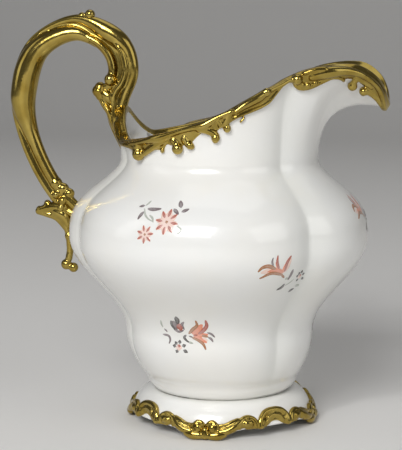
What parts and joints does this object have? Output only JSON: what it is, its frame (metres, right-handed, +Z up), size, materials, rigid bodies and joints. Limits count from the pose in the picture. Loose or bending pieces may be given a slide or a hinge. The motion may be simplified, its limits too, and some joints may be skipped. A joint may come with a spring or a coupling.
{
  "type": "creamer",
  "caption": "Porcelain creamer with a lobed baluster body, a flaring pouring lip, a looped gilded handle and a spread foot edged with gilded scrolls.",
  "frame": {"origin": "on the table, under the middle of the creamer's bounding box", "axes": "+Z up, +X towards the pouring lip, -X towards the handle"},
  "size_m": [0.1134, 0.0878, 0.1215],
  "materials": {
    "porcelain": "clear gloss glaze",
    "gilding": "bright gold burnished over glazed porcelain",
    "slip": "matt fired slip"
  },
  "bodies": {
    "root": {"body": "porcelain", "foot": "porcelain", "foot_lute": "slip", "handle_upper_lute": "slip", "handle_lower_lute": "slip", "rim_band": "gilding", "foot_band": "gilding", "handle_loop": "gilding", "thumb_bud": "gilding", "leaf_curl": "gilding", "handle_spur": "gilding", "handle_tail": "gilding", "lip_shell_left": "gilding", "lip_shell_right": "gilding", "rim_curl_left": "gilding", "rim_curl_right": "gilding", "scroll_foot_spout": "gilding", "scroll_foot_left": "gilding", "scroll_foot_handle": "gilding", "scroll_foot_right": "gilding"}
  },
  "joints": []
}
